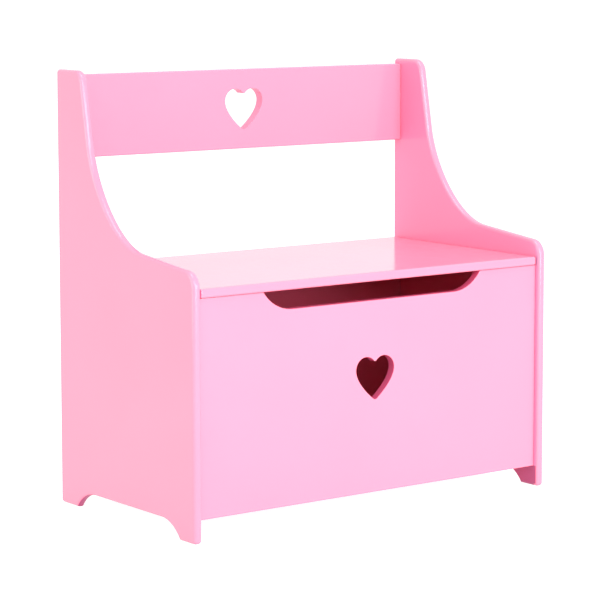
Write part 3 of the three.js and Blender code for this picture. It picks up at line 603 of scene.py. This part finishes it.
def beech(name):
    """Plain beech with grain along the dowel."""
    nodes = Nodes(name)
    grain = nodes.remap(nodes.noise(GRAIN_SCALE, 5, 0.65, GRAIN_STRETCH), 0.0, 1.0)
    nodes.join(nodes.mix(grain, BEECH_DARK, BEECH_LIGHT), nodes.shader.inputs["Base Color"])
    nodes.shader.inputs["Roughness"].default_value = BEECH_ROUGHNESS
    nodes.join(nodes.bump(grain, GRAIN_HEIGHT, GRAIN_BUMP), nodes.shader.inputs["Normal"])
    return nodes.material


def shaded_cut_paint(name, tone, grain=LENGTHWISE):
    """Less glossy paint in a darker tone that is painted shade, as used on sawn edges, the rail's heart and
    the feet.
    """
    return pink_paint(name, tone, grain, EGGSHELL, EGGSHELL_SPECULAR)


PAINT_LENGTH = pink_paint("pink_paint_lengthwise", PINK, LENGTHWISE)
PAINT_UPRIGHT = pink_paint("pink_paint_upright", PINK, UPRIGHT)
PAINT_SHADED = pink_paint("pink_paint_shaded", PINK_SHADED, UPRIGHT)
# The inside, cut-edge, rail-heart, foot and return paints are copies of the pink in darker or deeper tones,
# which are painted shade.
PAINT_INSIDE_SHADE = pink_paint("pink_paint_inside_shade", PINK_INSIDE_SHADE, LENGTHWISE, MATT, MATT_SPECULAR)
PAINT_CUT_SHADE = shaded_cut_paint("pink_paint_cut_edge_shade", PINK_CUT_SHADE)
PAINT_RAIL_CUT_SHADE = shaded_cut_paint("pink_paint_rail_cut_edge_shade", PINK_RAIL_CUT_SHADE)
PAINT_FOOT_SHADE = shaded_cut_paint("pink_paint_foot_shade", PINK_FOOT_SHADE, UPRIGHT)
PAINT_RETURN_SHADE = pink_paint("pink_paint_front_return_shade", PINK_RETURN_SHADE, UPRIGHT)
ZINC = plated_steel("zinc_plate", ZINC_TONE, ZINC_ROUGHNESS)
STEEL = plated_steel("bright_steel", STEEL_TONE, STEEL_ROUGHNESS)
BEECH = beech("beech_dowel")

# Axes that stand a board up: u, v and w of the outline become these directions.
SIDE_AXES = Matrix((Y, Z, X)).transposed().to_4x4()
FRONT_AXES = Matrix((X, Z, -Y)).transposed().to_4x4()


# ---------------------------------------------------------------- boards


def is_cam(name):
    """Whether a CAD node is a cam disc."""
    return "_cam" in name and "_bolt" not in name


def panel_fittings(prefix):
    """Cams, bolts and dowels of a cross panel, by the start of their names."""
    names = [n for n in frame["nodes"] if n.startswith(prefix + "_")]
    cams = [n for n in names if is_cam(n)]
    bolts = [n for n in names if "_cam_bolt" in n]
    dowels = [n for n in names if n.endswith("_dowel")]
    return cams, bolts, dowels


def cross_bores(prefix, cam_face):
    """Bores for the fittings of one cross panel: round the cams from their face, and in from the ends."""
    cams, bolts, dowels = panel_fittings(prefix)
    cutters = []
    for cam in cams:
        low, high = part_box(cam)
        centre = (low + high) / 2
        face_y = high.y if cam_face > 0 else low.y
        start = Vector((centre.x, face_y + cam_face * CAM_BORE_START, centre.z))
        length = CAM_BORE_DEPTH + CAM_BORE_START - CAM_BORE_MARGIN
        cutters.append(rod_mesh(start, -Y * cam_face, length, CAM_BORE_RADIUS, CAM_BORE_SIDES))
    for names, radius in ((bolts, BOLT_BORE_RADIUS), (dowels, DOWEL_BORE_RADIUS)):
        for name in names:
            low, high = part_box(name)
            centre = (low + high) / 2
            outward = X if centre.x > 0 else -X
            inner = min(abs(low.x), abs(high.x)) - FIT
            start = Vector((outward.x * inner, centre.y, centre.z))
            cutters.append(rod_mesh(start, outward, END_BORE_LENGTH, radius, BORE_SIDES))
    return cutters


def side_bores(side):
    """Blind bores in a side panel's inner face for every bolt, dowel and stay screw that enters it."""
    cutters = []
    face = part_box("right_side_panel")[0].x
    radii = {
        "_cam_bolt": THREAD_BORE_RADIUS,
        "_dowel": DOWEL_BORE_RADIUS,
        "stay_side_screw": SCREW_BORE_RADIUS,
    }
    for name in frame["nodes"]:
        for word, radius in radii.items():
            low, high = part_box(name)
            deepest = max(abs(low.x), abs(high.x))
            if word in name and (low.x + high.x) * side > 0 and deepest > face:
                centre = (low + high) / 2
                start = Vector((side * (face - BORE_MARGIN), centre.y, centre.z))
                length = deepest - face + BORE_MARGIN + FIT
                cutters.append(rod_mesh(start, X * side, length, radius, BORE_SIDES))
    return cutters


def floor_groove():
    """The groove that the floor board sits in, as the board itself with its clearance."""
    low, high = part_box("floor_panel")
    gap = Vector((FIT, FIT, FIT))
    return block_mesh(low - gap, high + gap)


def side_painted_shade(node, side):
    """The tones of painted shade on a side panel's inner face and on its arch, and the places where they
    meet.
    """
    low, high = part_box(node)
    front_low, front_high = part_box("front_panel")
    front, back = front_high.y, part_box("back_panel")[0].y
    lid_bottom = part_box("lid_panel")[0].z
    inner = low.x if side > 0 else high.x
    arch_end = high.y - 2 * FOOT_CORNER

    def is_inner(middle):
        return abs(middle.x - inner) < FIT

    def in_shaded_arch(middle, normal):
        return abs(middle.y) < arch_end and normal.z < -ARCH_WALL_TURN and normal.x * side < ARCH_EDGE_TURN

    def in_shaded_box(middle, normal):
        return is_inner(middle) and front < middle.y < back and middle.z < lid_bottom

    finishes = [
        # Painted shade: a dark tone on the inner face below the front panel and on the arch's wall.
        (PAINT_FOOT_SHADE, lambda middle, normal: is_inner(middle) and middle.z < front_low.z),
        (PAINT_FOOT_SHADE, in_shaded_arch),
        # Inner face in front of the front panel: a darker tone, which is painted shade.
        (PAINT_RETURN_SHADE, lambda middle, normal: is_inner(middle) and middle.y < front_low.y),
        # Within the box: the inside's deeper tone, which is painted shade.
        (PAINT_INSIDE_SHADE, in_shaded_box),
        (PAINT_SHADED, lambda middle, normal: is_inner(middle)),
    ]
    return finishes, (front_low.z, lid_bottom), (front_low.y, front, back)


def make_side_panel(node, side):
    """A side panel. Side is -1 on the left and 1 on the right."""
    low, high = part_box(node)
    mesh = board_mesh(side_outline(high.y, high.z), [], high.x - low.x, SIDE_ROUND)
    mesh.transform(Matrix.Translation((low.x, 0, 0)) @ SIDE_AXES)
    panel = to_object(node + "_board", mesh)
    cut_away(panel, [floor_groove(), *side_bores(side)])
    finishes, heights, depths = side_painted_shade(node, side)
    for z in heights:
        split_at(panel, (0, 0, z), Z)
    for y in depths:
        split_at(panel, (0, y, 0), Y)
    finish_piece(panel, PAINT_UPRIGHT, "carcass", [node], finishes)


def make_cross_panel(node, outline, holes, cutters, radius=PANEL_ROUND, others=()):
    """A board between the side panels, from its outline in x and z."""
    low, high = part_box(node)
    mesh = board_mesh(outline, holes, high.y - low.y, radius)
    mesh.transform(Matrix.Translation((0, high.y, 0)) @ FRONT_AXES)
    panel = to_object(node + "_board", mesh)
    cut_away(panel, cutters)
    finish_piece(panel, PAINT_LENGTH, "carcass", [node], others)


def shaded_cut_edges(material):
    """A darker tone of painted shade for the faces of a cross panel that are neither its front nor its
    rear.
    """
    return (material, lambda middle, normal: abs(normal.y) < FACING)


def nodes_with(*words):
    """The CAD nodes whose names hold any of the words."""
    return [n for n in frame["nodes"] if any(word in n for word in words)]


def screw_bores(names, direction):
    """Bores for upright countersunk screws, from the head's face to just past the tip."""
    cutters = []
    for name in names:
        low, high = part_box(name)
        length = high.z - low.z + FIT
        start = (low + high) / 2 - direction * (length - FIT) / 2
        cutters.append(rod_mesh(start, direction, length, SCREW_BORE_RADIUS, SCREW_BORE_SIDES))
    return cutters


def make_front_panel():
    low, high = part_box("front_panel")
    cutters = [floor_groove(), *cross_bores("front", 1)]
    hearts = [heart_outline(HEART_HEIGHTS["front_panel"])]
    # Painted shade: a darker tone on the cut edges and the heart's wall, and the inside's deeper tone on
    # the rear face.
    others = [shaded_cut_edges(PAINT_CUT_SHADE), (PAINT_INSIDE_SHADE, lambda middle, normal: normal.y > FACING)]
    make_cross_panel("front_panel", front_outline(low, high), hearts, cutters, others=others)


def make_back_panel():
    low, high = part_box("back_panel")
    outline = rounded_rectangle((low.x, low.z), (high.x, high.z), RAIL_CORNER)
    screws = screw_bores(nodes_with("hinge_fixed_screw"), -Z)
    # The inside's deeper tone on the front face is painted shade.
    others = [(PAINT_INSIDE_SHADE, lambda middle, normal: normal.y < -FACING)]
    cutters = [floor_groove(), *cross_bores("back", -1), *screws]
    make_cross_panel("back_panel", outline, [], cutters, others=others)


def make_back_rail():
    low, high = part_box("back_rail")
    outline = rounded_rectangle((low.x, low.z), (high.x, high.z), RAIL_CORNER)
    heart = heart_outline(HEART_HEIGHTS["back_rail"])
    # The heart's wall takes a darker tone, which is painted shade.
    heart_wall_shade = (PAINT_RAIL_CUT_SHADE, lambda middle, normal: abs(normal.y) < FACING and abs(middle.x) < HEART_REACH)
    make_cross_panel("back_rail", outline, [heart], cross_bores("rail", 1), RAIL_ROUND, [heart_wall_shade])


def make_floor():
    low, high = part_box("floor_panel")
    outline = rounded_rectangle((low.x, low.y), (high.x, high.y), FLOOR_CORNER)
    mesh = board_mesh(outline, [], high.z - low.z, FLOOR_ROUND, steps=FLOOR_ROUND_STEPS)
    mesh.transform(Matrix.Translation((0, 0, low.z)))
    floor = to_object("floor_panel_board", mesh)
    # The floor takes the inside's deeper tone, which is painted shade.
    finish_piece(floor, PAINT_INSIDE_SHADE, "carcass", ["floor_panel"])


def make_lid():
    low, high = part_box("lid_panel")
    outline = rounded_rectangle((low.x, low.y), (high.x, high.y), LID_CORNER, LID_CORNER_STEPS)
    mesh = board_mesh(outline, [], high.z - low.z, LID_ROUND, steps=LID_ROUND_STEPS)
    mesh.transform(Matrix.Translation((0, 0, low.z)))
    lid = to_object("lid_board", mesh)
    cut_away(lid, screw_bores(nodes_with("hinge_lid_screw", "stay_lid_screw"), Z))
    # Painted shade: the darker cut-edge tone on the lid's ends, and the inside's deeper tone on its
    # underside.
    ends = (PAINT_CUT_SHADE, lambda middle, normal: abs(normal.x) > FACING)
    under = (PAINT_INSIDE_SHADE, lambda middle, normal: normal.z < -FACING_FULLY)
    finish_piece(lid, PAINT_LENGTH, "lid", ["lid_panel"], [ends, under])


def make_boards():
    make_side_panel("left_side_panel", -1)
    make_side_panel("right_side_panel", 1)
    make_front_panel()
    make_back_panel()
    make_back_rail()
    make_floor()
    make_lid()


# ---------------------------------------------------------------- cams and screws


def cross_recess(reach, width, depth, top):
    """Two crossed slots that open at the given height along Z."""
    low, high = top - depth, top + RECESS_MARGIN
    half = width / 2
    return [
        block_mesh((-reach, -half, low), (reach, half, high)),
        block_mesh((-half, -reach, low), (half, reach, high)),
    ]


def stand(piece, place, facing):
    """Turns a piece made along +Z to face a direction, at a place."""
    turn = Z.rotation_difference(facing).to_matrix().to_4x4()
    piece.data.transform(Matrix.Translation(place) @ turn)


def make_cam(node, face):
    """A cam nut: a chamfered disc with a mouth for the bolt's head and a cross recess."""
    low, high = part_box(node)
    middle = (low + high) / 2
    radius, height = (high.x - low.x) / 2, high.y - low.y
    rim = radius - CAM_CHAMFER
    profile = [(0, 0), (rim, 0), (radius, CAM_CHAMFER)]
    profile += [(radius, height - CAM_CHAMFER), (rim, height), (0, height)]
    cam = to_object(node + "_turned", turned_mesh(profile, CAM_SIDES))
    cut_away(cam, cross_recess(CAM_RECESS_REACH, CAM_RECESS_WIDTH, CAM_RECESS_DEPTH, height))
    stand(cam, (middle.x, (low if face > 0 else high).y, middle.z), Y * face)
    outward = 1 if middle.x > 0 else -1
    bolt_low, bolt_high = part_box(node.replace("_cam", "_cam_bolt"))
    start = (middle.x + outward * (radius + RECESS_MARGIN), (bolt_low.y + bolt_high.y) / 2, middle.z)
    length = radius + RECESS_MARGIN + CAM_MOUTH_PAST
    cut_away(cam, [rod_mesh(start, -X * outward, length, BOLT_BORE_RADIUS)])
    finish_piece(cam, ZINC, "carcass", [node])


def make_screw(node, facing, body):
    """A countersunk screw with a cross recess in its head."""
    low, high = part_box(node)
    size = high - low
    length = max(size)
    radius = min(size) / 2
    head = radius - SCREW_SHANK
    profile = [(0, -length), (SCREW_SHANK, SCREW_TIP - length), (SCREW_SHANK, -head)]
    profile += [(radius, -SCREW_RIM), (radius, 0), (0, 0)]
    screw = to_object(node + "_turned", turned_mesh(profile, SCREW_SIDES))
    cut_away(screw, cross_recess(SCREW_RECESS_REACH, SCREW_RECESS_WIDTH, SCREW_RECESS_DEPTH, 0))
    stand(screw, (low + high) / 2 + facing * length / 2, facing)
    finish_piece(screw, ZINC, body, [node])


def make_fittings():
    for node in list(frame["nodes"]):
        if is_cam(node):
            make_cam(node, -1 if node.startswith("back_") else 1)
        elif "hinge_fixed_screw" in node:
            make_screw(node, Z, "carcass")
        elif "hinge_lid_screw" in node or "stay_lid_screw" in node:
            make_screw(node, -Z, "lid")
        elif "stay_side_screw" in node:
            make_screw(node, X, "carcass")


# ---------------------------------------------------------------- CAD nodes kept as they are


def dress_cad_nodes():
    """Gives every CAD node its material. The boards, cams and screws are replaced after this."""
    slots = {row["node"]: row["material_slot"] for row in frame["record"]["subparts"]}
    finishes = {"zinc_plate": ZINC, "steel": STEEL, "beech": BEECH, "pink_paint": PAINT_LENGTH}
    for name, node in frame["nodes"].items():
        material = finishes[slots[name]]
        if not node.material_slots:
            node.data.materials.append(material)
        for place in node.material_slots:
            place.material = material


# ---------------------------------------------------------------- floor, light and camera


FLOOR_RADIUS = 6
FLOOR_SIDES = 96
FLOOR_DARK = (0.34, 0.34, 0.34, 1)
FLOOR_LIGHT = (0.38, 0.38, 0.38, 1)
FLOOR_ROUGHNESS = 0.9
FLOOR_SPECULAR = 0.1
FLOOR_CLOUD_SCALE = 3
FLOOR_GLOW = 0.9
SKY_GLOW = 1.2
WHITE = (1, 1, 1)
WARM = (1, 0.95, 0.78)
LIT_PLACE = Vector((0, 0, 0.3))

# Each light's azimuth and elevation in degrees, distance, size, watts and colour. Azimuth 0 is in front.
SOFTBOXES = {
    "front_softbox": (8, 8, 2.2, 1.2, 34, WHITE),
    "front_left_softbox": (-20, 25, 2.2, 1.2, 20, WHITE),
    "left_softbox": (-98, 8, 1.5, 0.9, 9, WARM),
    "top_softbox": (0, 80, 2.0, 1.2, 18, WHITE),
}

CAMERA_PLACE = (-2.0640, -2.7521, 0.7522)
CAMERA_PAN = math.radians(37.354)
CAMERA_TILT = math.radians(6.561)
CAMERA_LENS = 149.8
CAMERA_SHIFT = (-0.0443, -0.0984)
SENSOR_WIDTH = 36


def make_stage():
    """A pale floor that glows a little, so that it stays as white as the background."""
    mesh = bmesh.new()
    bmesh.ops.create_circle(mesh, cap_ends=True, segments=FLOOR_SIDES, radius=FLOOR_RADIUS)
    floor = to_object("studio_floor", mesh)
    nodes = Nodes("studio_floor")
    tone = nodes.remap(nodes.noise(FLOOR_CLOUD_SCALE, 2), 0.0, 1.0)
    nodes.join(nodes.mix(tone, FLOOR_DARK, FLOOR_LIGHT), nodes.shader.inputs["Base Color"])
    nodes.shader.inputs["Roughness"].default_value = FLOOR_ROUGHNESS
    nodes.shader.inputs["Specular IOR Level"].default_value = FLOOR_SPECULAR
    nodes.shader.inputs["Emission Color"].default_value = (*WHITE, 1)
    nodes.shader.inputs["Emission Strength"].default_value = FLOOR_GLOW
    floor.data.materials.append(nodes.material)


def add_softbox(name, azimuth, elevation, distance, size, watts, colour):
    """A square soft light that faces the middle of the box."""
    a, e = math.radians(azimuth), math.radians(elevation)
    away = Vector((math.sin(a) * math.cos(e), -math.cos(a) * math.cos(e), math.sin(e)))
    light = bpy.data.lights.new(name, "AREA")
    light.shape = "SQUARE"
    light.size = size
    light.energy = watts
    light.color = colour
    lamp = bpy.data.objects.new(name, light)
    bpy.context.scene.collection.objects.link(lamp)
    lamp.location = LIT_PLACE + away * distance
    lamp.rotation_euler = away.to_track_quat("Z", "Y").to_euler()


def make_light():
    """An even white surround and four softboxes."""
    world = bpy.data.worlds.new("studio")
    world.use_nodes = True
    background = world.node_tree.nodes["Background"]
    background.inputs["Color"].default_value = (*WHITE, 1)
    background.inputs["Strength"].default_value = SKY_GLOW
    bpy.context.scene.world = world
    for name, settings in SOFTBOXES.items():
        add_softbox(name, *settings)
    bpy.context.scene.view_settings.view_transform = "Standard"


def make_camera():
    """A long lens from the front left, a little above the box."""
    level = Vector((math.sin(CAMERA_PAN), math.cos(CAMERA_PAN), 0))
    forward = level * math.cos(CAMERA_TILT) - Z * math.sin(CAMERA_TILT)
    data = bpy.data.cameras.new("camera")
    data.sensor_width = SENSOR_WIDTH
    data.lens = CAMERA_LENS
    data.shift_x, data.shift_y = CAMERA_SHIFT
    camera = bpy.data.objects.new("camera", data)
    bpy.context.scene.collection.objects.link(camera)
    camera.location = CAMERA_PLACE
    camera.rotation_euler = forward.to_track_quat("-Z", "Y").to_euler()
    bpy.context.scene.camera = camera


make_camera()
make_light()
make_stage()
dress_cad_nodes()
make_boards()
make_fittings()
